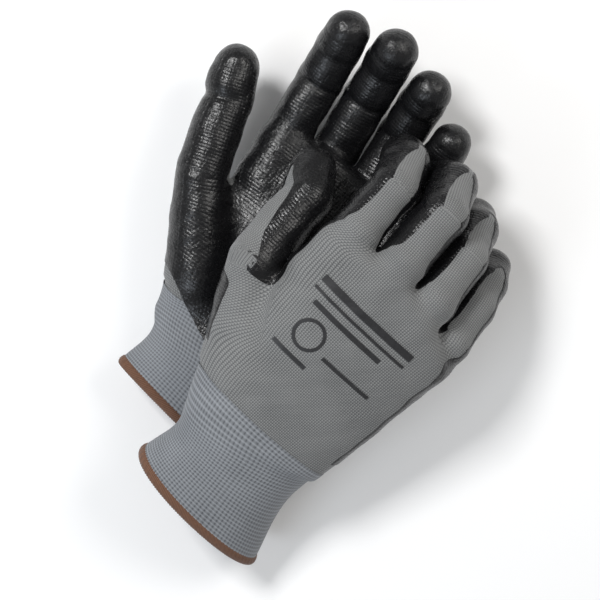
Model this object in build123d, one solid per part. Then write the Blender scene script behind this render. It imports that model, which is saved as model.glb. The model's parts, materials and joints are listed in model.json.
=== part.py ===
from build123d import *
import os

# A pair of nitrile-dipped knit work gloves, filled as if worn and laid one on the other.
# The left glove lies on its back, palm up.  The right glove lies across it, palm down.
# Both are the same glove, mirrored and bent to different rest poses.
#
# Glove frame of a right hand, in millimetres: the origin is the middle of the wrist,
# +X points to the little finger side, +Y to the fingertips, +Z out of the back of the hand.

LINER = 1.0  # wall of the knit liner
RIB_WALL = 1.4  # wall of the ribbed cuff
COAT = 0.45  # wall of the nitrile coating
PRINT = 0.15  # height of the print on the back
HINGE_GAP = 0.25  # each side of a finger joint's axis
BALL_GAP = 0.35  # between a joint's inner ball and the stall that turns round it
NOTCH = 31.0  # each side of a finger joint is cut back this much on the palm side, degrees
BACK_NOTCH = 2.0  # and this much on the back
WRIST_NOTCH = 10.0  # each side of the wrist, palm and back alike

# The palm's cross-sections: place along Y, centre X, half width, half thickness.
PALM = [
    (-14, 0, 38.5, 16.0),
    (2, 0, 39.5, 16.8),
    (28, 0, 41.5, 17.2),
    (62, -1, 44.0, 17.0),
    (92, 0, 46.5, 14.2),
]

ULNAR_TRIM = (19, 93, 20)  # X and Y where the web starts to slope back, and its slope
COAT_START = 10  # the dip line on the palm
COAT_SIDE = -2  # the dip line on the hand's edges, in Z
STALL_START = 70  # where a finger's tube starts inside the palm
THENAR = (-30, 12, -6)  # where the thumb's mound starts inside the palm
THENAR_RADIUS = 16.5

CUFF_NECK = (-25, 33.5, 17.0)  # the cuff's narrowest place: Y, half width, half thickness
EDGE_LIP = 3.0  # the overlock binding's reach over the rib, and past it
EDGE_WALL = 0.8
ELASTIC_ROWS = 6
ELASTIC_SIZE = 0.6

# Each finger: where it leaves the palm, its three lengths, and its four radii.
FINGERS = {
    "index": ((-36, 98, -2), (26, 21, 22), (11.0, 10.8, 10.6, 10.2)),
    "middle": ((-12, 103, 3), (29, 23, 23), (11.0, 10.9, 10.7, 10.3)),
    "ring": ((12.5, 99, 1), (26, 22, 22), (11.0, 10.8, 10.5, 10.1)),
    "little": ((35.5, 89, -6), (21, 17, 21), (10.2, 10.0, 9.8, 9.5)),
}
# The thumb has one joint less: its two lengths, and three radii.
THUMB = ((-57, 51, -12), (40, 27), (12.2, 11.4, 10.8))

# Each glove: where the wrist is, how the hand is turned, how the cuff hangs from the
# wrist and its size, and how each finger is spread and folded at rest.
GLOVES = {
    "left": {
        "mirrored": True,
        "wrist": (-37.7, -15.9, 17.6),
        "turn": (-36.3, 0, 2.2),
        "cuff_turn": (2.4, -4.0, -8),
        "cuff_length": 53.0,
        "cuff_half_width": 38.0,
        "cuff_half_height": 12.0,
        "spread": {"index": 5.5, "middle": 5.5, "ring": 5.3, "little": 5.0},
        "folds": {
            "index": (11, 22, 18),
            "middle": (19, 23, 17),
            "ring": (3, 31, 25),
            "little": (0, 12, 24),
        },
        "thumb": (17.5, 40),
        "thumb_folds": (0, 4),
    },
    "right": {
        "mirrored": False,
        "wrist": (-22.1, -58.9, 51.9),
        "turn": (-46.6, 13.5, 16.6),
        "cuff_turn": (11.0, 6.5, 4),
        "cuff_length": 60.0,
        "cuff_half_width": 39.5,
        "cuff_half_height": 19.5,
        "spread": {"index": -1.5, "middle": -0.5, "ring": -0.7, "little": -0.7},
        "folds": {
            "index": (26, 37, 25),
            "middle": (21, 45, 34),
            "ring": (33, 29, 19),
            "little": (35, 17, 12),
        },
        "thumb": (-13, 25),
        "thumb_folds": (28, 33),
    },
}
BIG = 300.0  # larger than a glove, for cutting tools


def turned(about_z, about_x, about_y):
    """A turn about Z, then the new X, then the new Y."""
    return Rot(0, 0, about_z) * Rot(about_x, 0, 0) * Rot(0, about_y, 0)


def cone(start, end, length):
    """A round tapered bar along +Y, from the origin."""
    if abs(start - end) < 0.01:
        bar = Cylinder(start, length, align=(Align.CENTER, Align.CENTER, Align.MIN))
    else:
        bar = Cone(start, end, length, align=(Align.CENTER, Align.CENTER, Align.MIN))
    return Rot(-90, 0, 0) * bar


def half_space(tilt, beyond):
    """Everything beyond, or before, the XZ plane tilted about X."""
    side = Align.MIN if beyond else Align.MAX
    return Rot(tilt, 0, 0) * Box(BIG, BIG, BIG, align=(Align.CENTER, side, Align.CENTER))


def beyond(frame, palm_angle, back_angle):
    """The space a joint's far side may fill: a wedge whose edge is the hinge axis."""
    edge = frame * Pos(0, HINGE_GAP, 0)
    return edge * (half_space(palm_angle, True) & half_space(-back_angle, True))


def before(frame, palm_angle, back_angle):
    """The space a joint's near side may fill."""
    edge = frame * Pos(0, -HINGE_GAP, 0)
    return edge * (half_space(-palm_angle, False) & half_space(back_angle, False))


def joint_ball(radius):
    """The folded knit inside a joint: a ball shell round the hinge, open along Y."""
    outside = radius - LINER - BALL_GAP
    inside = outside - LINER
    open_at = 0.64 * outside
    ball = Sphere(outside) - Sphere(inside)
    ball &= Box(BIG, 2 * open_at, BIG)
    collar = Pos(0, -open_at, 0) * (cone(radius - LINER / 2, radius - LINER / 2, LINER))
    collar -= Sphere(inside)
    collar -= Pos(0, -open_at - LINER, 0) * cone(0.7 * inside, 0.7 * inside, 3 * LINER)
    return ball, collar


def base_frame(root, spread, twist=0):
    """The frame of a finger's first joint when the finger is straight."""
    return Pos(*root) * Rot(0, 0, spread) * Rot(0, twist, 0)


def palm_loft(grow):
    """The palm without its fingers, with its wall moved out by grow."""
    sections = []
    for y, x, half_width, half_height in PALM:
        plane = Plane(origin=(x, y, 0), x_dir=(1, 0, 0), z_dir=(0, 1, 0))
        sections.append(plane * Ellipse(half_width + grow, half_height + grow))
    sections[-1] = Pos(0, grow, 0) * sections[-1]
    return loft(sections)


def palm_body(glove, grow):
    """The closed outer shape of the hand up to each finger's first joint."""
    solid = palm_loft(grow)
    trim_x, trim_y, slope = ULNAR_TRIM
    web = Pos(trim_x, trim_y + grow, 0) * Rot(0, 0, -slope)
    solid -= web * Box(BIG, BIG, BIG, align=(Align.CENTER, Align.MIN, Align.CENTER))
    for name, (root, _, radii) in FINGERS.items():
        length = root[1] - STALL_START
        stub = Pos(0, -length, 0) * cone(radii[0] + grow, radii[0] + grow, length + 3)
        solid += base_frame(root, glove["spread"][name]) * stub
    root, _, radii = THUMB
    radius = radii[0] + grow
    reach = Vector(*root) - Vector(*THENAR)
    along = Plane(origin=THENAR, z_dir=reach)
    mound = Cone(THENAR_RADIUS + grow, radius, reach.length, align=(Align.CENTER, Align.CENTER, Align.MIN))
    solid += along * mound
    solid += Pos(*root) * Sphere(radius)
    return solid


def finger_bases(glove):
    """The straight frame and first radius of each finger and the thumb."""
    bases = {}
    for name, (root, _, radii) in FINGERS.items():
        bases[name] = (base_frame(root, glove["spread"][name]), radii[0])
    spread, twist = glove["thumb"]
    bases["thumb"] = (base_frame(THUMB[0], spread, twist), THUMB[2][0])
    return bases


def trim_hand(solid, glove, wrist):
    """Cuts the hand back at the wrist and at each finger's first joint."""
    solid &= beyond(wrist, WRIST_NOTCH, WRIST_NOTCH)
    for frame, radius in finger_bases(glove).values():
        reach = 2 * radius
        room = frame * Box(reach + 2, reach + 4, reach + 4)
        room -= before(frame, NOTCH, BACK_NOTCH)
        solid -= room
    return solid


def hand_liner(glove, wrist):
    outer = palm_body(glove, 0)
    inner = palm_body(glove, -LINER)
    for frame, radius in finger_bases(glove).values():
        inner += frame * Pos(0, -4, 0) * cone(radius - LINER, radius - LINER, 12)
    shell = trim_hand(outer - inner, glove, wrist)
    for frame, radius in finger_bases(glove).values():
        ball, collar = joint_ball(radius)
        shell += frame * ball
        shell += (frame * collar) & outer & before(frame, NOTCH, BACK_NOTCH)
    return shell


def dip_region():
    """The part of the hand that was dipped: the palm and both edges, up to the fingers."""
    block = Box(BIG, BIG, BIG, align=(Align.CENTER, Align.MIN, Align.MAX))
    return Pos(0, COAT_START, COAT_SIDE) * block


def hand_coating(glove, wrist):
    skin = palm_body(glove, COAT) - palm_body(glove, 0)
    return trim_hand(skin & dip_region(), glove, wrist)


def back_print(glove):
    """A plain printed patch on the back of the hand."""
    skin = palm_body(glove, PRINT) - palm_body(glove, 0)
    return skin & (Pos(-4, 56, 20) * Box(34, 26, 40))


def straight_stall(radii, length, grow):
    return cone(radii[0] + grow, radii[1] + grow, length)


def tip_stall(radii, lengths, bend, grow):
    """A fingertip: one straight run, a fixed bend, and a rounded end."""
    near, knuckle, end = (radius + grow for radius in radii)
    solid = cone(near, knuckle, lengths[0])
    far = Pos(0, lengths[0], 0) * Rot(-bend, 0, 0)
    run = lengths[1] - radii[-1]
    solid += far * Sphere(knuckle)
    solid += far * cone(knuckle, end, run)
    solid += far * Pos(0, run, 0) * Sphere(end)
    return solid


def thumb_tip_stall(radii, length, grow):
    near, end = (radius + grow for radius in radii)
    run = length - radii[-1]
    return cone(near, end, run) + Pos(0, run, 0) * Sphere(end)


def coat_share(solid, window_end, radius):
    """Keeps a finger's coating off its back, up to window_end along the finger."""
    window = Box(BIG, BIG, BIG, align=(Align.CENTER, Align.MAX, Align.MIN))
    return solid - Pos(0, window_end, 0.3 * radius) * window


def finger_pieces(root_frame, folds, lengths, radii, is_thumb):
    """The liner and coating of both halves of a finger, and its two hinge frames."""
    first = root_frame * Rot(-folds[0], 0, 0)
    middle = first * Pos(0, lengths[0], 0)
    second = middle * Rot(-folds[1], 0, 0)
    here = Location((0, 0, 0))
    far_end = Pos(0, lengths[0], 0)

    near_space = beyond(here, NOTCH, BACK_NOTCH) & before(far_end, NOTCH, BACK_NOTCH)
    base = straight_stall(radii, lengths[0], 0)
    base_liner = (base - straight_stall(radii, lengths[0], -LINER)) & near_space
    ball, collar = joint_ball(radii[1])
    base_liner += far_end * ball
    base_liner += far_end * collar & base & near_space
    base_coat = (straight_stall(radii, lengths[0], COAT) - base) & near_space
    base_coat = coat_share(base_coat, BIG / 3, radii[0])

    if is_thumb:
        shapes = [thumb_tip_stall(radii[1:], lengths[1], grow) for grow in (-LINER, 0, COAT)]
        window_end = 0.3 * lengths[1]
    else:
        shapes = [tip_stall(radii[1:], lengths[1:], folds[2], grow) for grow in (-LINER, 0, COAT)]
        window_end = lengths[1] + 2
    far_space = beyond(here, NOTCH, BACK_NOTCH)
    tip_liner = (shapes[1] - shapes[0]) & far_space
    tip_coat = coat_share((shapes[2] - shapes[1]) & far_space, window_end, radii[1])
    pieces = {
        "base_liner": first * base_liner,
        "base_coating": first * base_coat,
        "tip_liner": second * tip_liner,
        "tip_coating": second * tip_coat,
    }
    return pieces, root_frame, middle


def cuff_loft(glove, frame, grow, start, end):
    """The cuff's outer shape between two places along it, start nearer the wrist."""
    length = glove["cuff_length"]
    neck_y, neck_width, neck_height = CUFF_NECK
    _, _, wrist_width, wrist_height = PALM[1]
    past = 10 / (length + neck_y)
    outlines = [
        (12, wrist_width, wrist_height),
        (0, wrist_width, wrist_height),
        (neck_y, neck_width, neck_height),
        (
            -length - 10,
            glove["cuff_half_width"] + past * (glove["cuff_half_width"] - neck_width),
            glove["cuff_half_height"] + past * (glove["cuff_half_height"] - neck_height),
        ),
    ]
    sections = []
    for y, half_width, half_height in outlines:
        plane = Plane(origin=(0, y, 0), x_dir=(1, 0, 0), z_dir=(0, 1, 0))
        sections.append(plane * Ellipse(half_width + grow, half_height + grow))
    slab = Pos(0, start, 0) * Box(BIG, start - end, BIG, align=(Align.CENTER, Align.MAX, Align.CENTER))
    return frame * (loft(sections, ruled=True) & slab)


def cuff_pieces(glove, wrist):
    """The rib, its elastic yarns and its overlock binding."""
    frame = turned(*glove["cuff_turn"])
    length = glove["cuff_length"]
    rib = cuff_loft(glove, frame, 0, 11, -length)
    rib -= cuff_loft(glove, frame, -RIB_WALL, 12, -length - 1)
    rib &= before(wrist, WRIST_NOTCH, WRIST_NOTCH)
    lip = cuff_loft(glove, frame, EDGE_WALL, EDGE_LIP - length, -length - EDGE_LIP)
    lip -= cuff_loft(glove, frame, 0, EDGE_LIP - length + 1, -length)
    lip -= cuff_loft(glove, frame, -RIB_WALL, -length, -length - EDGE_LIP - 1)
    yarns = []
    pitch = (length - 24) / (ELASTIC_ROWS - 1)
    for row in range(ELASTIC_ROWS):
        start = -16 - row * pitch
        end = start - ELASTIC_SIZE
        yarn = cuff_loft(glove, frame, -RIB_WALL, start, end)
        yarn -= cuff_loft(glove, frame, -RIB_WALL - ELASTIC_SIZE, start + 1, end - 1)
        yarns.append(yarn)
    return {"cuff_rib": rib, "cuff_edge": lip, "cuff_elastic": Compound(children=yarns)}


def build_glove(side, glove):
    """All pieces of one glove where they lie, and its hinges."""
    wrist = Location((0, 0, 0))
    pieces = {
        "hand_liner": hand_liner(glove, wrist),
        "hand_coating": hand_coating(glove, wrist),
    }
    if not glove["mirrored"]:
        pieces["back_print"] = back_print(glove)
    pieces.update(cuff_pieces(glove, wrist))
    hinges = {"wrist": wrist}
    for name, (root, lengths, radii) in FINGERS.items():
        frame = base_frame(root, glove["spread"][name])
        found, first, middle = finger_pieces(frame, glove["folds"][name], lengths, radii, False)
        pieces.update({f"{name}_{part}": solid for part, solid in found.items()})
        hinges[f"{name}_base"] = first
        hinges[f"{name}_middle"] = middle
    root, lengths, radii = THUMB
    frame = base_frame(root, *glove["thumb"])
    found, first, middle = finger_pieces(frame, glove["thumb_folds"], lengths, radii, True)
    pieces.update({f"thumb_{part}": solid for part, solid in found.items()})
    hinges["thumb_base"] = first
    hinges["thumb_middle"] = middle

    place = Pos(*glove["wrist"]) * turned(*glove["turn"])
    placed = {}
    for name, solid in pieces.items():
        if glove["mirrored"]:
            solid = mirror(solid, about=Plane.XY)
        placed[f"{side}_{name}"] = place * solid
    axes = {}
    for name, frame in hinges.items():
        point = frame.position
        axis = (frame * Pos(-1, 0, 0)).position - point
        if glove["mirrored"]:
            point = Vector(point.X, point.Y, -point.Z)
            axis = Vector(-axis.X, -axis.Y, axis.Z)
        spot = (place * Pos(*point)).position
        tip = (place * Pos(*(point + axis))).position
        axes[f"{side}_{name}"] = (spot, tip - spot)
    return placed, axes


nodes = {}
hinges = {}
for side, glove in GLOVES.items():
    solids, axes = build_glove(side, glove)
    nodes.update(solids)
    hinges.update(axes)

# The origin is the middle of the pair's footprint, on the surface it lies on.
boxes = [solid.bounding_box() for solid in nodes.values()]
low = [min(getattr(box.min, axis) for box in boxes) for axis in "XYZ"]
high = [max(getattr(box.max, axis) for box in boxes) for axis in "XYZ"]
shift = Vector(-(low[0] + high[0]) / 2, -(low[1] + high[1]) / 2, -low[2])
nodes = {name: Pos(*shift) * solid for name, solid in nodes.items()}
hinges = {name: (spot + shift, axis) for name, (spot, axis) in hinges.items()}

os.makedirs("parts", exist_ok=True)
for name, solid in nodes.items():
    export_step(solid, f"parts/{name}.step")
print("size", [round(b - a, 1) for a, b in zip(low, high)], "shift", shift)
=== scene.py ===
import json
import math

import bpy
import numpy as np
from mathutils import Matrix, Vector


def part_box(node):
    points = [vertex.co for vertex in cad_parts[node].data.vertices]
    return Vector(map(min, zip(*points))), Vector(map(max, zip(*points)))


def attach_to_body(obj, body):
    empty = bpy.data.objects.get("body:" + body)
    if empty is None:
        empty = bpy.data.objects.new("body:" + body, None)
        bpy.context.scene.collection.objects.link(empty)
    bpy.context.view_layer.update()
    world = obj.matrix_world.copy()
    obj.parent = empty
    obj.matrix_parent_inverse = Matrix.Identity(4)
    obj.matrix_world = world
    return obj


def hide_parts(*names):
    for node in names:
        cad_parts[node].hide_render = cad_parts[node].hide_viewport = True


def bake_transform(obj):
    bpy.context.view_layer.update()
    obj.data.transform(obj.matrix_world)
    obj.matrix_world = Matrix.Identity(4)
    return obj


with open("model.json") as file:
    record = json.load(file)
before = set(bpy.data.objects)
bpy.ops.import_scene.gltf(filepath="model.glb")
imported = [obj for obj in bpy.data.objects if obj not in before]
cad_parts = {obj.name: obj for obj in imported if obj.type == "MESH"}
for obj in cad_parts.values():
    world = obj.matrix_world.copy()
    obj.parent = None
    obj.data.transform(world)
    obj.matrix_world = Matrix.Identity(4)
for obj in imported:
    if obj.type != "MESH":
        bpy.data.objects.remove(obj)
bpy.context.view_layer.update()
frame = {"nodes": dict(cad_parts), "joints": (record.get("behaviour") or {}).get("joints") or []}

# A pair of dipped knit gloves.  Each is worked out in its own glove frame, in millimetres,
# the same one the CAD uses: the origin is the middle of the wrist, +X points to the little
# finger side, +Y to the fingertips and +Z out of the back of the hand.  The hinges in the
# frame say where each glove lies.

MM = 0.001
STEP = 1.0  # mesh spacing of the hand and fingers
COAT = 0.5  # thickness of the nitrile coating
KNIT_WALE = 1.15  # the hand knit's column pitch
KNIT_COURSE = 1.1
RIB_PITCH = 1.9  # the ribbed cuff's pitch, both ways
EDGE_SIZE = (1.7, 2.6)  # the overlock binding: half thickness, half height

# The palm: place along Y, centre X, half width, half thickness.
PALM = [
    (-30, 0, 35.0, 16.5),
    (-14, 0, 37.8, 16.4),
    (2, 0, 39.5, 16.8),
    (28, 0, 41.5, 17.2),
    (62, -1, 44.0, 17.0),
    (92, 0, 46.2, 14.4),
    (112, 0, 46.5, 13.0),
]
PALM_POWER = 2.3  # 2 is an ellipse, more is squarer
# Where the palm ends between the fingers: X and Y.
WEB = [(-50, 91), (-36, 94), (-24, 97), (-12, 99), (0, 98), (12, 95), (24, 90), (36, 85), (50, 78)]

# Each finger: where it leaves the palm, its three lengths, and its four radii.
FINGERS = {
    "index": ((-36, 98, -2), (26, 21, 22), (11.0, 10.8, 10.6, 10.2)),
    "middle": ((-12, 103, 3), (29, 23, 23), (11.0, 10.9, 10.7, 10.3)),
    "ring": ((12.5, 99, 1), (26, 22, 22), (11.0, 10.8, 10.5, 10.1)),
    "little": ((35.5, 89, -6), (21, 17, 21), (10.2, 10.0, 9.8, 9.5)),
    "thumb": ((-57, 51, -12), (40, 27), (12.4, 11.6, 10.9)),
}
THENAR = (-30, 12, -6)  # where the thumb's mound starts inside the palm
THENAR_RADIUS = 17.0
STUB = 28.0  # how far a finger's tube reaches back inside the palm
THUMB_AWAY = (-0.76, 0.65, 0)  # from the palm to the thumb, square to the cut between them

# How far round from a stall's back the bare knit reaches, at places along the stall.
WINDOW = [
    (-0.2, 72), (0.0, 50), (0.15, 40), (0.35, 37), (0.5, 33), (0.62, 22), (0.71, 0), (0.83, -70), (1.2, -180),
]
THUMB_WINDOW = [
    (-0.4, 100), (-0.12, 90), (0.06, 66), (0.16, 50), (0.3, 40), (0.55, 26), (0.72, 6), (0.79, 0),
    (0.92, -70), (1.3, -180),
]

# The skin that belongs to a stall: within a reach of the stall's own surface, and from a
# place behind its root.
STALL_REACH, STALL_BEHIND = 6.0, -26
THUMB_REACH, THUMB_BEHIND = 9, -14
STALL_ROUND = 10.5  # a stall's usual radius, which turns an angle into a length
HAND_END = -4.5  # the hand's liner ends here, tucked in under the rib

# Each glove: how its cuff hangs, and how each stall is spread (and twisted) and folded.
GLOVES = {
    "left": {
        "mirrored": True,
        "thumb_window": 0,
        "dip_start": [(-70, 12), (-45, 6), (-25, -4), (-9, -12), (60, -12.5)],
        "cuff_turn": (2.4, -4.0, -8),
        "cuff_length": 53.0,
        "cuff_end": (38.0, 12.0),
        "cuff_skew": 7.0,
        "hug": (-22, -12),
        "spread": {
            "index": (5.5, 0),
            "middle": (5.5, 0),
            "ring": (5.3, 0),
            "little": (5.0, 0),
            "thumb": (17.5, 40),
        },
        "folds": {
            "index": (11, 22, 18),
            "middle": (19, 23, 17),
            "ring": (3, 31, 25),
            "little": (0, 12, 24),
            "thumb": (0, 4),
        },
    },
    "right": {
        "mirrored": False,
        "thumb_window": -116,
        "dip_start": [(-70, 14), (-45, 10), (-20, 5), (10, 5), (60, 12)],
        "cuff_turn": (11.0, 6.5, 4),
        "cuff_length": 60.0,
        "cuff_end": (39.5, 19.5),
        "cuff_skew": 9.0,
        "hug": (-12, -3),
        "spread": {
            "index": (-1.5, 0),
            "middle": (-0.5, 0),
            "ring": (-0.7, 0),
            "little": (-0.7, 0),
            "thumb": (-13, 25),
        },
        "folds": {
            "index": (26, 37, 25),
            "middle": (21, 45, 34),
            "ring": (33, 29, 19),
            "little": (35, 17, 12),
            "thumb": (28, 33),
        },
    },
}
CUFF_NECK = (-25, 33.5, 17.0)  # the cuff's narrowest place: Y, half width, half thickness
ELASTIC_ROWS = 6
PRINT_LIFT = 0.3  # the back print stands this far off the knit


# ---------------------------------------------------------------- small helpers


def move(x, y, z):
    m = np.eye(4)
    m[:3, 3] = (x, y, z)
    return m


def turn(axis, degrees):
    m = np.eye(4)
    c, s = math.cos(math.radians(degrees)), math.sin(math.radians(degrees))
    i, j = {"x": (1, 2), "y": (2, 0), "z": (0, 1)}[axis]
    m[i, i], m[i, j], m[j, i], m[j, j] = c, -s, s, c
    return m


def step_up(low, high, value):
    """0 below low, 1 above high, and a smooth rise between."""
    t = np.clip((value - low) / (high - low), 0, 1)
    return t * t * (3 - 2 * t)


def smooth_min(a, b, k):
    h = np.clip(0.5 + 0.5 * (b - a) / k, 0, 1)
    return b * (1 - h) + a * h - k * h * (1 - h)


def smooth_max(a, b, k):
    return -smooth_min(-a, -b, k)


def curve(x, knots):
    """A smooth line through knots, each (x, value)."""
    xs = np.array([k[0] for k in knots], float)
    vs = np.array([k[1] for k in knots], float)
    slopes = np.gradient(vs, xs)
    x = np.clip(x, xs[0], xs[-1])
    i = np.clip(np.searchsorted(xs, x) - 1, 0, len(xs) - 2)
    gap = xs[i + 1] - xs[i]
    t = (x - xs[i]) / gap
    a = (1 + 2 * t) * (1 - t) ** 2 * vs[i] + t * (1 - t) ** 2 * gap * slopes[i]
    return a + t * t * (3 - 2 * t) * vs[i + 1] + t * t * (t - 1) * gap * slopes[i + 1]


def ripple(p, length, seed):
    """Soft lumps of about that length, from -1 to 1."""
    rng = np.random.default_rng(seed)
    total = np.zeros(len(p))
    for _ in range(6):
        way = rng.normal(size=3)
        way *= 2 * math.pi / (length * np.linalg.norm(way) * rng.uniform(0.7, 1.4))
        total += np.sin(p @ way + rng.uniform(0, 6.28))
    return total / 3.5


# ---------------------------------------------------------------- the shape of one glove


def stall_runs(name, glove):
    """A stall's straight runs, from inside the palm to the tip, and its hinge frames."""
    root, lengths, radii = FINGERS[name]
    spread, twist = glove["spread"][name]
    base = move(*root) @ turn("z", spread) @ turn("y", twist)
    folds = glove["folds"][name]
    runs = []
    if name == "thumb":
        reach = np.array(root, float) - THENAR
        far = float(np.linalg.norm(reach))
        way = reach / far
        side = np.cross(way, base[:3, 2])
        side /= np.linalg.norm(side)
        mound = np.eye(4)
        mound[:3, 0], mound[:3, 1], mound[:3, 2] = side, way, np.cross(side, way)
        mound[:3, 3] = THENAR
        runs.append((mound, far, THENAR_RADIUS, radii[0], -far))
    else:
        runs.append((base @ move(0, -STUB, 0), STUB, radii[0], radii[0], -STUB))
    here, done, hinges = base, 0.0, []
    for i, length in enumerate(lengths):
        here = here @ turn("x", -folds[i])
        hinges.append(here)
        last = i == len(lengths) - 1
        run = length - (radii[-1] if last else 0)
        runs.append((here, run, radii[i], radii[i + 1], done))
        done += length
        here = here @ move(0, length, 0)
    return {
        "name": name,
        "runs": runs,
        "hinges": hinges,
        "base": base,
        "length": done,
        "folds": folds,
        "root": root,
    }


def stall_look(stall, p):
    """Each point's distance from the stall, and where along and round it the point is."""
    best = np.full(len(p), 1e9)
    total = np.full(len(p), 1e9)
    place, angle, knit = np.zeros(len(p)), np.zeros(len(p)), np.zeros(len(p))
    passed = 0.0
    count = len(stall["runs"])
    depth = (0, 1.6, 1.9, 0.35)
    for i, (at, run, start, end, done) in enumerate(stall["runs"]):
        q = (p - at[:3, 3]) @ at[:3, :3]
        t = np.clip(q[:, 1] / run, 0, 1)
        over = q[:, 1] - t * run
        radius = start + (end - start) * t
        up = np.sqrt(q[:, 2] ** 2 + over**2) * np.where(q[:, 2] < 0, -1, 1)
        around = np.hypot(q[:, 0], up) + 1e-9
        front = step_up(-0.2, 0.9, -up / around)
        mid = np.sin(math.pi * t)
        if i > 0:
            radius = radius + 0.9 * front * mid
        fore, back = t * run, (1 - t) * run
        crease = 0.0
        if i > 0:
            crease = crease + depth[i] * np.exp(-((fore / 2.6) ** 2))
        if 0 < i < count - 1:
            crease = crease + depth[i + 1] * np.exp(-((back / 2.6) ** 2))
        radius = radius - front * crease
        d = around - radius
        total = d if i == 0 else smooth_min(total, d, 2.5)
        pick = d < best
        best = np.where(pick, d, best)
        fold = stall["folds"][i] if i < len(stall["folds"]) else 0
        back_side = step_up(-0.3, 0.6, up / around)
        here = done + t * run
        wrap = radius * np.arctan2(over, np.maximum(np.abs(q[:, 2]), 1e-6))
        place = np.where(pick, here + np.where(over > 0, over, 0) * (i == count - 1), place)
        angle = np.where(pick, np.arctan2(q[:, 0], q[:, 2]), angle)
        knit = np.where(pick, here + back_side * (passed + wrap), knit)
        passed += radius.mean() * math.radians(fold)
    return total, place, angle, knit


def palm_look(p):
    x, y, z = p.T
    centre = curve(y, [(r[0], r[1]) for r in PALM])
    wide = curve(y, [(r[0], r[2]) for r in PALM])
    thick = curve(y, [(r[0], r[3]) for r in PALM])
    a, b = np.abs(x - centre) / wide, np.abs(z) / thick
    n = PALM_POWER
    g = np.maximum((a**n + b**n) ** (1 / n), 0.15)
    slope = g ** (1 - n) * np.hypot(a ** (n - 1) / wide, b ** (n - 1) / thick)
    d = (g - 1) / np.maximum(slope, 0.01)
    web = curve(x, WEB)
    d = smooth_max(d, y - web, 7)
    return d, np.arctan2((x - centre) / wide, z / thick)


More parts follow.
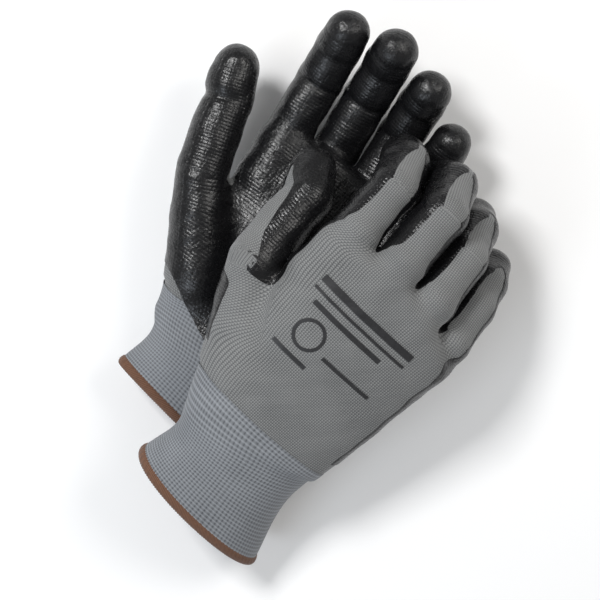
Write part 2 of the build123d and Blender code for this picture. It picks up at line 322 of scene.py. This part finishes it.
class Glove:
    def __init__(self, side):
        self.side = side
        self.spec = GLOVES[side]
        self.stalls = [stall_runs(n, self.spec) for n in FINGERS]
        self.flip = np.array([1.0, 1.0, -1.0 if self.spec["mirrored"] else 1.0])
        self.place()

    def place(self):
        """Finds where the glove lies from the frame's hinges."""
        spots = {j["name"]: np.array(j["pos_m"]) for j in frame["joints"] if "pos_m" in j}
        mine, theirs = [np.zeros(3)], [spots[f"{self.side}_wrist_bend"]]
        for stall in self.stalls:
            for hinge, label in zip(stall["hinges"], ("base", "middle")):
                mine.append(hinge[:3, 3] * self.flip * MM)
                theirs.append(spots[f"{self.side}_{stall['name']}_{label}_bend"])
        mine, theirs = np.array(mine), np.array(theirs)
        a, b = mine.mean(0), theirs.mean(0)
        u, _, v = np.linalg.svd((mine - a).T @ (theirs - b))
        sign = np.sign(np.linalg.det(v.T @ u.T))
        self.spin = v.T @ np.diag([1, 1, sign]) @ u.T
        self.shift = b - self.spin @ a

    def world(self, p):
        """Glove millimetres to the row frame's metres."""
        return (np.atleast_2d(p) * self.flip * MM) @ self.spin.T + self.shift

    def aim(self, n):
        return (n * self.flip) @ self.spin.T

    def field(self, p):
        palm, _ = palm_look(p)
        thumb = self.stalls[-1]
        whole = smooth_min(palm, stall_look(thumb, p)[0], 8)
        result = whole
        for stall in self.stalls[:-1]:
            near = np.abs((p - stall["base"][:3, 3]) @ stall["base"][:3, 0]) < 30
            d = np.full(len(p), 60.0)
            if near.any():
                d[near] = stall_look(stall, p[near])[0]
            result = np.minimum(result, smooth_min(whole, d, 4.5))
        return result + 0.28 * ripple(p, 17, 5) + 0.10 * ripple(p, 7, 9)

    def normal(self, p, e=0.35):
        n = np.zeros_like(p)
        for k in range(3):
            d = np.zeros(3)
            d[k] = e
            n[:, k] = self.field(p + d) - self.field(p - d)
        return n / (2 * e)

    def skin(self):
        """The hand's surface as points, quads and outward normals, in glove millimetres."""
        ends = [s["runs"][-1][0] @ move(0, s["runs"][-1][1], 0) for s in self.stalls]
        reach = np.array([e[:3, 3] for e in ends] + [[-60, 0, -26], [52, 0, 22]])
        low, high = reach.min(0) - 15, reach.max(0) + 15
        low[1] = -16.0
        shape = np.ceil((high - low) / STEP / 4).astype(int) * 4
        axes = [low[k] + STEP * np.arange(shape[k] + 1) for k in range(3)]
        coarse = [a[::4] for a in axes]
        grid = np.stack(np.meshgrid(*coarse, indexing="ij"), -1).reshape(-1, 3)
        rough = self.field(grid).reshape([len(c) for c in coarse])
        fine = rough
        for k in range(3):
            fine = np.repeat(fine, 4, axis=k)
        fine = fine[: len(axes[0]), : len(axes[1]), : len(axes[2])]
        want = np.abs(rough) < 9 * max(1.0, STEP)
        for k in range(3):
            grown = want.copy()
            up = [slice(None)] * 3
            down = [slice(None)] * 3
            up[k], down[k] = slice(1, None), slice(None, -1)
            grown[tuple(up)] |= want[tuple(down)]
            grown[tuple(down)] |= want[tuple(up)]
            want = grown
        for k in range(3):
            want = np.repeat(want, 4, axis=k)
        want = want[: len(axes[0]), : len(axes[1]), : len(axes[2])]
        fine = fine.copy()
        i, j, k = np.nonzero(want)
        fine[i, j, k] = self.field(np.stack([axes[0][i], axes[1][j], axes[2][k]], 1))
        points, quads = surface_net(fine, low)
        for _ in range(2):
            points = relax(points, quads)
            for _ in range(2):
                n = self.normal(points)
                f = self.field(points)
                points = points - n * (f / np.maximum((n**2).sum(1), 0.05))[:, None]
        n = self.normal(points)
        return points, quads, n / np.linalg.norm(n, axis=1)[:, None]

    def read(self, p):
        """For each point: its piece, its knit coordinates, and how far inside the dip it is."""
        palm, turn_round = palm_look(p)
        x, y, z = p.T
        knit_u = 26 * turn_round + 9.5 * np.sin(2 * turn_round)
        knit_v = y.copy()
        line = -1.5 + 10.5 * step_up(16, 38, x)
        dip = np.minimum(line - z, (y - self.dip_start(x)) * 0.9)
        piece = np.zeros(len(p), int)
        nearest = np.full(len(p), STALL_REACH)
        for number, stall in enumerate(self.stalls):
            thumb = stall["name"] == "thumb"
            behind = THUMB_BEHIND if thumb else STALL_BEHIND
            d, place, angle, knit = stall_look(stall, p)
            base = (p - stall["base"][:3, 3]) @ stall["base"][:3, :3]
            mine = (d < nearest) & (base[:, 1] > behind) & (place > behind)
            if thumb:
                aside = (p - stall["base"][:3, 3]) @ np.array(THUMB_AWAY)
                reach = np.where(nearest > STALL_REACH - 0.1, THUMB_REACH, nearest)
                own = (d < reach) & (d < palm + 1.5) & (aside > 0) & (place > behind)
            nearest = np.where(mine, d, nearest)
            share = place / stall["length"]
            window = np.radians(curve(share, THUMB_WINDOW if thumb else WINDOW))
            centre = math.radians(self.spec["thumb_window"]) if thumb else 0.0
            off = np.abs((angle - centre + math.pi) % (2 * math.pi) - math.pi)
            inside = (off - window) * STALL_ROUND
            weight = step_up(-12, 4, place) if thumb else step_up(-10, 5, place)
            weight = np.where(mine, weight, 0) * step_up(6, 1.5, d)
            dip = dip * (1 - weight) + inside * weight
            weight = step_up(-38, 12, place) * step_up(11, 2, d) if thumb else weight
            if thumb:
                weight = np.where(nearest < d, 0, weight)
            knit_u = knit_u * (1 - weight) + (angle * STALL_ROUND + stall["root"][0] * 1.05) * weight
            knit_v = knit_v * (1 - weight) + (stall["root"][1] + knit) * weight
            half = FINGERS[stall["name"]][1][0] / 2
            first = (p - stall["hinges"][0][:3, 3]) @ stall["hinges"][0][:3, :3]
            beyond = own if thumb else mine & (base[:, 1] > 0.5) & (place > 0.2)
            piece = np.where(mine | beyond, 0, piece)
            piece = np.where(beyond, 1 + 2 * number, piece)
            piece = np.where(beyond & (first[:, 1] > half), 2 + 2 * number, piece)
        return piece, knit_u, knit_v, dip

    def dip_start(self, x):
        return curve(x, self.spec["dip_start"])


def surface_net(value, low):
    """Quads through the zero surface of a grid of values."""
    shape = np.array(value.shape)
    neg = value < 0
    corners = [(a, b, c) for a in (0, 1) for b in (0, 1) for c in (0, 1)]
    cut = tuple(shape - 1)
    count = sum(neg[a : a + cut[0], b : b + cut[1], c : c + cut[2]].astype(np.int8) for a, b, c in corners)
    active = (count > 0) & (count < 8)
    i, j, k = np.nonzero(active)
    number = np.full(cut, -1, np.int64)
    number[i, j, k] = np.arange(len(i))
    total, hits = np.zeros((len(i), 3)), np.zeros(len(i))
    for one in corners:
        for axis in range(3):
            if one[axis]:
                continue
            two = list(one)
            two[axis] = 1
            a = value[i + one[0], j + one[1], k + one[2]]
            b = value[i + two[0], j + two[1], k + two[2]]
            cross = (a < 0) != (b < 0)
            t = np.where(cross, a / np.where(cross, a - b, 1), 0)
            spot = np.tile(np.array(one, float), (len(i), 1))
            spot[:, axis] = t
            total += spot * cross[:, None]
            hits += cross
    points = low + STEP * (np.stack([i, j, k], 1) + total / hits[:, None])
    quads = []
    for axis in range(3):
        b, c = (axis + 1) % 3, (axis + 2) % 3
        near = [slice(None)] * 3
        far = [slice(None)] * 3
        near[axis], far[axis] = slice(None, -1), slice(1, None)
        for k2 in (b, c):
            near[k2] = slice(1, -1)
            far[k2] = slice(1, -1)
        one, two = neg[tuple(near)], neg[tuple(far)]
        e = np.argwhere(one != two)
        rising = one[tuple(e.T)]
        e = e.copy()
        e[:, b] += 1
        e[:, c] += 1
        ring = []
        for db, dc in ((-1, -1), (0, -1), (0, 0), (-1, 0)):
            q = e.copy()
            q[:, b] += db
            q[:, c] += dc
            ring.append(number[tuple(q.T)])
        ring = np.stack(ring, 1)
        ring[~rising] = ring[~rising][:, ::-1]
        quads.append(ring[(ring >= 0).all(1)])
    return points, np.concatenate(quads)


def relax(points, quads):
    """Moves each point part of the way to the mean of its neighbours."""
    total, hits = np.zeros_like(points), np.zeros(len(points))
    for k in range(4):
        a, b = quads[:, k], quads[:, (k + 1) % 4]
        for s, t in ((a, b), (b, a)):
            for axis in range(3):
                total[:, axis] += np.bincount(s, points[t][:, axis], len(points))
            hits += np.bincount(s, minlength=len(points))
    edge = np.concatenate([np.sort(np.stack([quads[:, k], quads[:, (k + 1) % 4]], 1), 1) for k in range(4)])
    key, uses = np.unique(edge[:, 0] * (len(points) + 1) + edge[:, 1], return_counts=True)
    rim = key[uses == 1]
    fixed = np.zeros(len(points), bool)
    fixed[rim // (len(points) + 1)] = True
    fixed[rim % (len(points) + 1)] = True
    mean = total / np.maximum(hits, 1)[:, None]
    return np.where(fixed[:, None], points, points * 0.5 + mean * 0.5)


# ---------------------------------------------------------------- meshes


def make_mesh(name, glove, points, quads, normals, uv, material):
    """A mesh object from glove millimetres, dropping points that no face uses."""
    used, back = np.unique(quads, return_inverse=True)
    quads = back.reshape(quads.shape)
    if glove.spec["mirrored"]:
        quads = quads[:, ::-1]
    spots = glove.world(points[used])
    mesh = bpy.data.meshes.new(name)
    mesh.vertices.add(len(spots))
    mesh.vertices.foreach_set("co", spots.astype(np.float32).ravel())
    mesh.loops.add(quads.size)
    mesh.loops.foreach_set("vertex_index", quads.astype(np.int32).ravel())
    mesh.polygons.add(len(quads))
    mesh.polygons.foreach_set("loop_start", np.arange(0, quads.size, 4, dtype=np.int32))
    mesh.update(calc_edges=True)
    layer = mesh.uv_layers.new(name="knit")
    layer.data.foreach_set("uv", (uv[used][quads.ravel()] / 100).astype(np.float32).ravel())
    mesh.shade_smooth()
    if normals is not None:
        mesh.normals_split_custom_set_from_vertices(glove.aim(normals[used]).tolist())
    mesh.materials.append(material)
    obj = bpy.data.objects.new(name, mesh)
    bpy.context.scene.collection.objects.link(obj)
    return obj


def tube_quads(rings, around, closed_rings=False):
    """Quads of a tube whose points run ring by ring."""
    i, j = np.meshgrid(np.arange(rings if closed_rings else rings - 1), np.arange(around), indexing="ij")
    i, j = i.ravel(), j.ravel()
    n, m = (i + 1) % rings, (j + 1) % around
    return np.stack([i * around + j, i * around + m, n * around + m, n * around + j], 1)


# ---------------------------------------------------------------- materials


class Nodes:
    """Short names for building one node material."""

    def __init__(self, name):
        self.material = bpy.data.materials.new(name)
        self.material.use_nodes = True
        self.tree = self.material.node_tree
        self.shader = self.tree.nodes["Principled BSDF"]

    def node(self, kind, **settings):
        n = self.tree.nodes.new(kind)
        for key, value in settings.items():
            setattr(n, key, value)
        return n

    def put(self, value, socket):
        if hasattr(value, "links"):
            self.tree.links.new(value, socket)
        else:
            socket.default_value = value

    def math(self, operation, a, b=0.0, c=0.0):
        n = self.node("ShaderNodeMath", operation=operation)
        for value, socket in zip((a, b, c), n.inputs):
            self.put(value, socket)
        return n.outputs[0]

    def mix(self, share, a, b):
        n = self.node("ShaderNodeMix", data_type="RGBA")
        self.put(share, n.inputs[0])
        self.put(a, n.inputs[6])
        self.put(b, n.inputs[7])
        return n.outputs[2]

    def knit(self):
        """The knit coordinates in millimetres: along the courses, and along the wales."""
        uv = self.node("ShaderNodeUVMap", uv_map="knit").outputs[0]
        parts = self.node("ShaderNodeSeparateXYZ")
        self.tree.links.new(uv, parts.inputs[0])
        courses = self.math("MULTIPLY", parts.outputs[0], 100.0)
        wales = self.math("MULTIPLY", parts.outputs[1], 100.0)
        return courses, wales

    def place(self):
        return self.node("ShaderNodeTexCoord").outputs["Object"]

    def noise(self, scale, detail=2.0, rough=0.5):
        n = self.node("ShaderNodeTexNoise")
        self.tree.links.new(self.place(), n.inputs["Vector"])
        n.inputs["Scale"].default_value = scale
        n.inputs["Detail"].default_value = detail
        n.inputs["Roughness"].default_value = rough
        return n.outputs[0]

    def bump(self, height, strength, distance, after=None):
        n = self.node("ShaderNodeBump")
        n.inputs["Strength"].default_value = strength
        n.inputs["Distance"].default_value = distance
        self.tree.links.new(height, n.inputs["Height"])
        if after is not None:
            self.tree.links.new(after, n.inputs["Normal"])
        return n.outputs[0]

    def finish(self, color=None, normal=None, rough=None, **values):
        for key, value in values.items():
            self.shader.inputs[key.replace("_", " ")].default_value = value
        for value, name in ((color, "Base Color"), (normal, "Normal"), (rough, "Roughness")):
            if value is not None:
                self.put(value, self.shader.inputs[name])
        return self.material


def ridge(n, value, pitch, sharp):
    """A round ridge along each pitch: 1 on the ridge, 0 in the groove."""
    wave = n.math("ABSOLUTE", n.math("SINE", n.math("MULTIPLY", value, math.pi / pitch)))
    return n.math("POWER", wave, sharp)


def knit_material():
    n = Nodes("hand_knit")
    u, v = n.knit()
    half = n.math("ABSOLUTE", n.math("SUBTRACT", n.math("FRACT", n.math("DIVIDE", u, KNIT_WALE)), 0.5))
    slant = n.math("ADD", v, n.math("MULTIPLY", half, 0.9))
    stitch = ridge(n, slant, KNIT_COURSE, 0.7)
    wale = ridge(n, u, KNIT_WALE, 0.6)
    height = n.math("MULTIPLY", stitch, wale)
    cloud = n.noise(45.0, 3.0)
    # Painted shade: the colour runs from near black in the grooves between the stitches, where the height is
    # low, to the yarn's grey on the raised loops; the cloud adds a random tone.
    shade = n.math("MULTIPLY_ADD", height, 1.0, n.math("MULTIPLY_ADD", cloud, 0.4, -0.1))
    color = n.mix(shade, (0.030, 0.033, 0.036, 1), (0.235, 0.238, 0.236, 1))
    normal = n.bump(height, 0.35, 0.0003)
    return n.finish(color, normal, 0.78, Sheen_Weight=0.25, Sheen_Roughness=0.4)


def rib_material(name, light, dark):
    n = Nodes(name)
    u, v = n.knit()
    wale = ridge(n, u, RIB_PITCH, 0.45)
    course = ridge(n, n.math("ADD", v, RIB_PITCH / 2), RIB_PITCH, 3.0)
    open_loop = n.math("MAXIMUM", wale, n.math("MULTIPLY", course, 0.8))
    line = n.math("MULTIPLY", course, 0.35)
    cloud = n.noise(60.0, 3.0)
    # Painted shade: the colour goes to the dark one in the grooves between the ribs and the courses, and to
    # the light grey on the raised loops; the cloud adds a random tone.
    shade = n.math("ADD", n.math("MULTIPLY", open_loop, 0.6), line)
    shade = n.math("ADD", shade, n.math("MULTIPLY_ADD", cloud, 0.3, -0.15))
    color = n.mix(shade, dark, light)
    normal = n.bump(n.math("ADD", open_loop, course), 0.4, 0.0003)
    return n.finish(color, normal, 0.8, Sheen_Weight=0.2, Sheen_Roughness=0.4)


def nitrile_material():
    n = Nodes("nitrile")
    u, v = n.knit()
    grain = n.noise(900.0, 2.0, 0.6)
    mottle = n.noise(520.0, 3.0, 0.6)
    lumps = n.noise(80.0, 2.0)
    courses = ridge(n, v, KNIT_COURSE * 1.5, 1.0)
    wales = ridge(n, u, KNIT_WALE * 1.2, 1.0)
    knit = n.math("MULTIPLY_ADD", courses, 0.7, n.math("MULTIPLY", wales, 0.3))
    normal = n.bump(lumps, 0.25, 0.0025)
    normal = n.bump(mottle, 0.6, 0.0005, normal)
    normal = n.bump(n.math("MULTIPLY_ADD", grain, 1.2, knit), 0.4, 0.0003, normal)
    rough = n.math("MULTIPLY_ADD", mottle, 0.22, 0.17)
    color = n.mix(n.math("MULTIPLY", grain, 0.8), (0.003, 0.003, 0.0035, 1), (0.010, 0.010, 0.011, 1))
    return n.finish(color, normal, rough, Specular_IOR_Level=0.45)


def thread_material():
    n = Nodes("edge_thread")
    u, v = n.knit()
    turn_line = ridge(n, n.math("ADD", u, n.math("MULTIPLY", v, 0.6)), 0.9, 0.8)
    fuzz = n.noise(700.0, 3.0)
    # Painted shade: dark brown in the grooves between the thread's turns, lighter brown on the turns; the
    # fuzz adds a random tone.
    shade = n.math("MULTIPLY_ADD", turn_line, 0.7, n.math("MULTIPLY", fuzz, 0.4))
    color = n.mix(shade, (0.035, 0.016, 0.009, 1), (0.19, 0.088, 0.048, 1))
    normal = n.bump(turn_line, 0.5, 0.0004)
    return n.finish(color, normal, 0.85, Sheen_Weight=0.2)


def plain_material(name, one, two, rough, scale):
    n = Nodes(name)
    fuzz = n.noise(scale, 3.0)
    color = n.mix(fuzz, one, two)
    return n.finish(color, n.bump(fuzz, 0.2, 0.0002), rough)


MATERIALS = {
    "hand_knit": knit_material(),
    "rib_knit": rib_material("rib_knit", (0.285, 0.30, 0.32, 1), (0.020, 0.023, 0.028, 1)),
    "nitrile": nitrile_material(),
    "edge_thread": thread_material(),
    "elastic_yarn": plain_material("elastic_yarn", (0.42, 0.42, 0.42, 1), (0.6, 0.6, 0.6, 1), 0.7, 500.0),
    "print_ink": plain_material("print_ink", (0.008, 0.008, 0.009, 1), (0.03, 0.03, 0.032, 1), 0.5, 900.0),
}


# ---------------------------------------------------------------- pieces


def attach(obj, glove, body, nodes, bend=None):
    """Joins a piece to its body; given a bend, (parent, start, end), it only bakes the piece's placement into
    its mesh and joins it to no body, and the bend's parent and ends go unused.
    """
    if bend is None:
        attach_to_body(obj, body)
    else:
        parent, start, end = bend
        ends = glove.world(np.array([start, end]))
        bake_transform(obj)
    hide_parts(*nodes)


def hand_pieces(glove):
    side = glove.side
    points, quads, normals = glove.skin()
    piece, knit_u, knit_v, dip = glove.read(points)
    uv = np.stack([knit_u, knit_v], 1)
    owner = np.sort(piece[quads], 1)[:, 2]
    coat_points, coat_quads = dipped(glove, points, quads, normals, dip)
    coat_owner = np.sort(piece[coat_quads], 1)[:, 2]
    kept = np.flatnonzero(points[quads][:, :, 1].min(1) > HAND_END)
    tucked = points - normals * (0.9 * step_up(2.2, -0.5, points[:, 1]))[:, None]
    jobs = [(0, f"{side}_hand", None, "hand")]
    for number, stall in enumerate(glove.stalls):
        name = stall["name"]
        first, second = stall["hinges"][0], stall["hinges"][1]
        base = stall["base"]
        start, end = (base @ move(0, 0.5, 0))[:3, 3], (first @ move(0, 12, 0))[:3, 3]
        if name == "thumb":
            start = base[:3, 3]
            end = start + THUMB_REACH * np.array(THUMB_AWAY)
        base_body = f"{side}_{name}_base"
        jobs.append((1 + 2 * number, base_body, (f"{side}_hand", start, end), f"{name}_base"))
        bent = second @ turn("x", stall["folds"][1] / 2)
        start, end = (bent @ move(0, -8, 0))[:3, 3], (bent @ move(0, 8, 0))[:3, 3]
        jobs.append((2 + 2 * number, f"{side}_{name}_tip", (base_body, start, end), f"{name}_tip"))
    for number, body, bend, label in jobs:
        mine = quads[kept][owner[kept] == number]
        liner = make_mesh(f"{side}_{label}_knit", glove, tucked, mine, normals, uv, MATERIALS["hand_knit"])
        attach(liner, glove, body, [f"{side}_{label}_liner"], bend)
        mine = coat_quads[coat_owner == number]
        coat = make_mesh(f"{side}_{label}_dip", glove, coat_points, mine, normals, uv, MATERIALS["nitrile"])
        attach(coat, glove, body, [f"{side}_{label}_coating"], bend)


def dipped(glove, points, quads, normals, dip):
    """The coating: the skin inside the dip line, moved outward, its rim snapped to the line."""
    inside = dip > 0
    keep = quads[inside[quads].any(1)]
    rim = np.unique(keep[~inside[keep]])
    points = points.copy()
    e = 0.3
    slope = np.zeros((len(rim), 3))
    for k in range(3):
        d = np.zeros(3)
        d[k] = e
        slope[:, k] = (glove.read(points[rim] + d)[3] - glove.read(points[rim] - d)[3]) / (2 * e)
    n = normals[rim]
    slope -= n * (slope * n).sum(1)[:, None]
    size = (slope**2).sum(1)
    jump = slope * (-dip[rim] / np.maximum(size, 0.05))[:, None]
    far = np.linalg.norm(jump, axis=1)
    jump *= np.minimum(1, 1.6 * STEP / np.maximum(far, 1e-9))[:, None]
    points[rim] += jump
    lift = -0.25 + (COAT + 0.25) * step_up(-0.2, 1.1, dip)
    over_rib = step_up(0, -3, points[:, 1])
    lift = lift + 0.75 * over_rib
    return points + normals * lift[:, None], keep


def cuff_ring(glove, along, out, around):
    """One ring of the cuff, along mm from the wrist (negative towards the mouth)."""
    spec = glove.spec
    length = spec["cuff_length"]
    a = np.arange(around) * 2 * math.pi / around
    _, _, wide0, thick0 = PALM[2]
    neck, wide1, thick1 = CUFF_NECK
    wide2, thick2 = spec["cuff_end"]
    widths = [(-length, wide2), (neck, wide1), (-8, 0.5 * (wide0 + wide1) + 0.8), (2, wide0)]
    wide = curve(np.array([along]), widths)[0]
    thick = curve(np.array([along]), [(-length, thick2), (neck, thick1), (2, thick0)])[0]
    power = 2 / 2.15
    s, c = np.sin(a), np.cos(a)
    x = (wide + out) * np.sign(s) * np.abs(s) ** power
    z = (thick + out) * np.sign(c) * np.abs(c) ** power
    lean = spec["cuff_skew"] * step_up(5, length + 10, np.array(-along)) * 1.3
    flat = np.stack([x, along - lean * x / wide + 0.25 * lean, z], 1)
    yaw, pitch, roll = spec["cuff_turn"]
    hang = (turn("z", yaw) @ turn("x", pitch) @ turn("y", roll))[:3, :3]
    hung = flat @ hang.T
    loose, close = spec["hug"]
    share = float(step_up(-close - 2, -loose + 4, np.array(-along)))
    ring = flat * (1 - share) + hung * share
    hug = float(step_up(loose, close, np.array(along)))
    if hug > 0:
        n = glove.normal(ring)
        n /= np.linalg.norm(n, axis=1)[:, None]
        ring = ring - n * (hug * (glove.field(ring) - out))[:, None]
    return ring


def cuff_pieces(glove):
    side, length = glove.side, glove.spec["cuff_length"]
    around = 400
    bend = (f"{side}_hand", (0, 1.0, 0), (0, -12.0, 0))
    rows, uvs = [], []
    outer = np.arange(1.6, -length, -RIB_PITCH / 4)
    inner = np.arange(-length, 1.6, RIB_PITCH)
    phase = np.abs(np.sin(np.arange(around) * math.pi / 4))
    for along in outer:
        ring = cuff_ring(glove, along, 0.35, around)
        middle = ring.mean(0)
        course = abs(math.cos(along * math.pi / RIB_PITCH))
        lip = float(step_up(2.0, -1.0, np.array(along)))
        relief = 0.32 * np.maximum(phase**0.6, 0.6 * course**3) * lip - 0.30
        away = ring - middle
        away /= np.linalg.norm(away, axis=1)[:, None]
        rows.append(ring + away * relief[:, None])
        uvs.append(np.stack([np.arange(around) * RIB_PITCH / 4, np.full(around, along)], 1))
    for along in inner:
        rows.append(cuff_ring(glove, along, -1.4, around))
        uvs.append(np.stack([np.arange(around) * RIB_PITCH / 4, np.full(around, along)], 1))
    points, uv = np.concatenate(rows), np.concatenate(uvs)
    quads = tube_quads(len(rows), around)
    rib = make_mesh(f"{side}_cuff_knit", glove, points, quads, None, uv, MATERIALS["rib_knit"])
    attach(rib, glove, f"{side}_cuff", [f"{side}_cuff_rib"], bend)

    around, cross = 720, 14
    rows, uvs = [], []
    base = cuff_ring(glove, -length, -0.5, around)
    outward = cuff_ring(glove, -length, 0.5, around) - base
    outward /= np.linalg.norm(outward, axis=1)[:, None]
    inwards = base - cuff_ring(glove, -length + 1, -0.5, around)
    inwards /= np.linalg.norm(inwards, axis=1)[:, None]
    run = np.cumsum(np.linalg.norm(np.roll(base, -1, 0) - base, axis=1))
    thick, tall = EDGE_SIZE
    for k in range(cross):
        b = 2 * math.pi * k / cross
        stitch = 0.16 * np.sin(2 * math.pi * (run / 1.35 + 1.2 * math.cos(b)))
        r_out, r_in = (thick + stitch) * math.sin(b), (tall + stitch) * math.cos(b)
        rows.append(base + outward * r_out[:, None] + inwards * (r_in - 0.4)[:, None])
        uvs.append(np.stack([run, np.full(around, k * 0.8)], 1))
    points, uv = np.concatenate(rows), np.concatenate(uvs)
    quads = tube_quads(cross, around, True)[:, ::-1]
    edge = make_mesh(f"{side}_cuff_binding", glove, points, quads, None, uv, MATERIALS["edge_thread"])
    attach(edge, glove, f"{side}_cuff", [f"{side}_cuff_edge"])

    around, cross = 180, 6
    all_points, all_quads = [], []
    for row in range(ELASTIC_ROWS):
        along = -16.3 - row * (length - 24) / (ELASTIC_ROWS - 1)
        rows = []
        for k in range(cross):
            b = 2 * math.pi * k / cross
            rows.append(cuff_ring(glove, along + 0.3 * math.cos(b), -1.65 + 0.3 * math.sin(b), around))
        all_points.append(np.concatenate(rows))
        all_quads.append(tube_quads(cross, around, True)[:, ::-1] + row * around * cross)
    points, quads = np.concatenate(all_points), np.concatenate(all_quads)
    uv = points[:, :2]
    yarn = make_mesh(f"{side}_cuff_yarns", glove, points, quads, None, uv, MATERIALS["elastic_yarn"])
    attach(yarn, glove, f"{side}_cuff", [f"{side}_cuff_elastic"])


def back_print(glove):
    """Plain bars and a ring on the back of the hand, lying on the knit."""
    patches = []

    def bar(x, y, wide, tall):
        nx, ny = int(wide / 0.8) + 1, max(int(tall / 0.8), 2) + 1
        columns = np.linspace(x - wide / 2, x + wide / 2, nx)
        lines = np.linspace(y - tall / 2, y + tall / 2, ny)
        gx, gy = np.meshgrid(columns, lines)
        i, j = np.meshgrid(np.arange(ny - 1), np.arange(nx - 1), indexing="ij")
        a = (i * nx + j).ravel()
        patches.append((gx.ravel(), gy.ravel(), np.stack([a, a + 1, a + nx + 1, a + nx], 1)))

    def ring(x, y, outer, inner):
        count = 72
        a = np.arange(count) * 2 * math.pi / count
        gx = np.concatenate([x + r * np.cos(a) for r in (inner, (inner + outer) / 2, outer)])
        gy = np.concatenate([y + r * np.sin(a) for r in (inner, (inner + outer) / 2, outer)])
        patches.append((gx, gy, tube_quads(3, count)[:, ::-1]))

    bar(-6.5, 74.5, 57, 3.6)
    bar(-6.5, 69.0, 57, 1.4)
    bar(-9.5, 63.5, 42, 2.4)
    ring(-21, 50.5, 8.0, 6.4)
    bar(-21, 37.5, 20, 2.0)
    bar(6, 47, 30, 1.8)
    points, quads, count = [], [], 0
    for gx, gy, faces in patches:
        p = np.stack([gx, gy, np.full(len(gx), 17.0)], 1)
        for _ in range(8):
            e = np.array([0, 0, 0.3])
            f = glove.field(p)
            slope = (glove.field(p + e) - glove.field(p - e)) / 0.6
            p[:, 2] -= np.clip(f / np.maximum(slope, 0.3), -3, 3)
        points.append(p)
        quads.append(faces + count)
        count += len(p)
    points, quads = np.concatenate(points), np.concatenate(quads)
    n = glove.normal(points)
    n /= np.linalg.norm(n, axis=1)[:, None]
    raised = points + PRINT_LIFT * n
    marks = make_mesh("right_back_marks", glove, raised, quads, n, points[:, :2], MATERIALS["print_ink"])
    attach(marks, glove, "right_hand", ["right_back_print"])


for side in GLOVES:
    made = Glove(side)
    hand_pieces(made)
    cuff_pieces(made)
    if side == "right":
        back_print(made)


# ---------------------------------------------------------------- floor, light and camera

FLOOR_REACH = 8.0  # metres, from the middle to each edge
FLOOR_DROP = 0.0006  # the coating under the lower glove reaches just below the CAD's solids
WORLD_STRENGTH = 0.3
CAMERA_LENS, CAMERA_SENSOR = 107.0, 36.0
CAMERA_SHIFT = (-0.0031, -0.0066)  # from over the middle of the CAD's box
CAMERA_HEIGHT = 0.902

lows, highs = zip(*(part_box(name) for name in frame["nodes"]))
low = [min(c[k] for c in lows) for k in range(3)]
high = [max(c[k] for c in highs) for k in range(3)]

floor_mesh = bpy.data.meshes.new("floor")
reach = FLOOR_REACH
floor_corners = [(-reach, -reach, 0), (reach, -reach, 0), (reach, reach, 0), (-reach, reach, 0)]
floor_mesh.from_pydata(floor_corners, [], [(0, 1, 2, 3)])
floor = bpy.data.objects.new("floor", floor_mesh)
bpy.context.scene.collection.objects.link(floor)
floor.location.z = low[2] - FLOOR_DROP
surface = Nodes("floor")
floor_mesh.materials.append(surface.finish((0.92, 0.92, 0.92, 1), None, 0.6))


def lamp(name, spot, size, power, color=(1, 1, 1)):
    data = bpy.data.lights.new(name, "AREA")
    data.shape = "RECTANGLE"
    data.size, data.size_y = size
    data.energy = power
    data.color = color
    obj = bpy.data.objects.new(name, data)
    bpy.context.scene.collection.objects.link(obj)
    obj.location = spot
    way = -obj.location.normalized()
    obj.rotation_euler = way.to_track_quat("-Z", "Y").to_euler()


lamp("key", (-0.5, 0.5, 1.1), (0.3, 0.3), 11.0)
lamp("fill", (0.75, 0.35, 0.95), (0.5, 0.5), 5.0, (1.0, 0.98, 0.95))
lamp("low", (-0.75, -0.6, 0.8), (0.5, 0.4), 4.0, (0.84, 0.91, 1.0))
world = bpy.data.worlds.new("studio")
world.use_nodes = True
world.node_tree.nodes["Background"].inputs[0].default_value = (1, 1, 1, 1)
world.node_tree.nodes["Background"].inputs[1].default_value = WORLD_STRENGTH
bpy.context.scene.world = world
bpy.context.scene.view_settings.view_transform = "Standard"

camera_data = bpy.data.cameras.new("camera")
camera_data.lens = CAMERA_LENS
camera_data.sensor_width = CAMERA_SENSOR
camera = bpy.data.objects.new("camera", camera_data)
bpy.context.scene.collection.objects.link(camera)
camera.location = (
    (low[0] + high[0]) / 2 + CAMERA_SHIFT[0],
    (low[1] + high[1]) / 2 + CAMERA_SHIFT[1],
    low[2] + CAMERA_HEIGHT,
)
bpy.context.scene.camera = camera
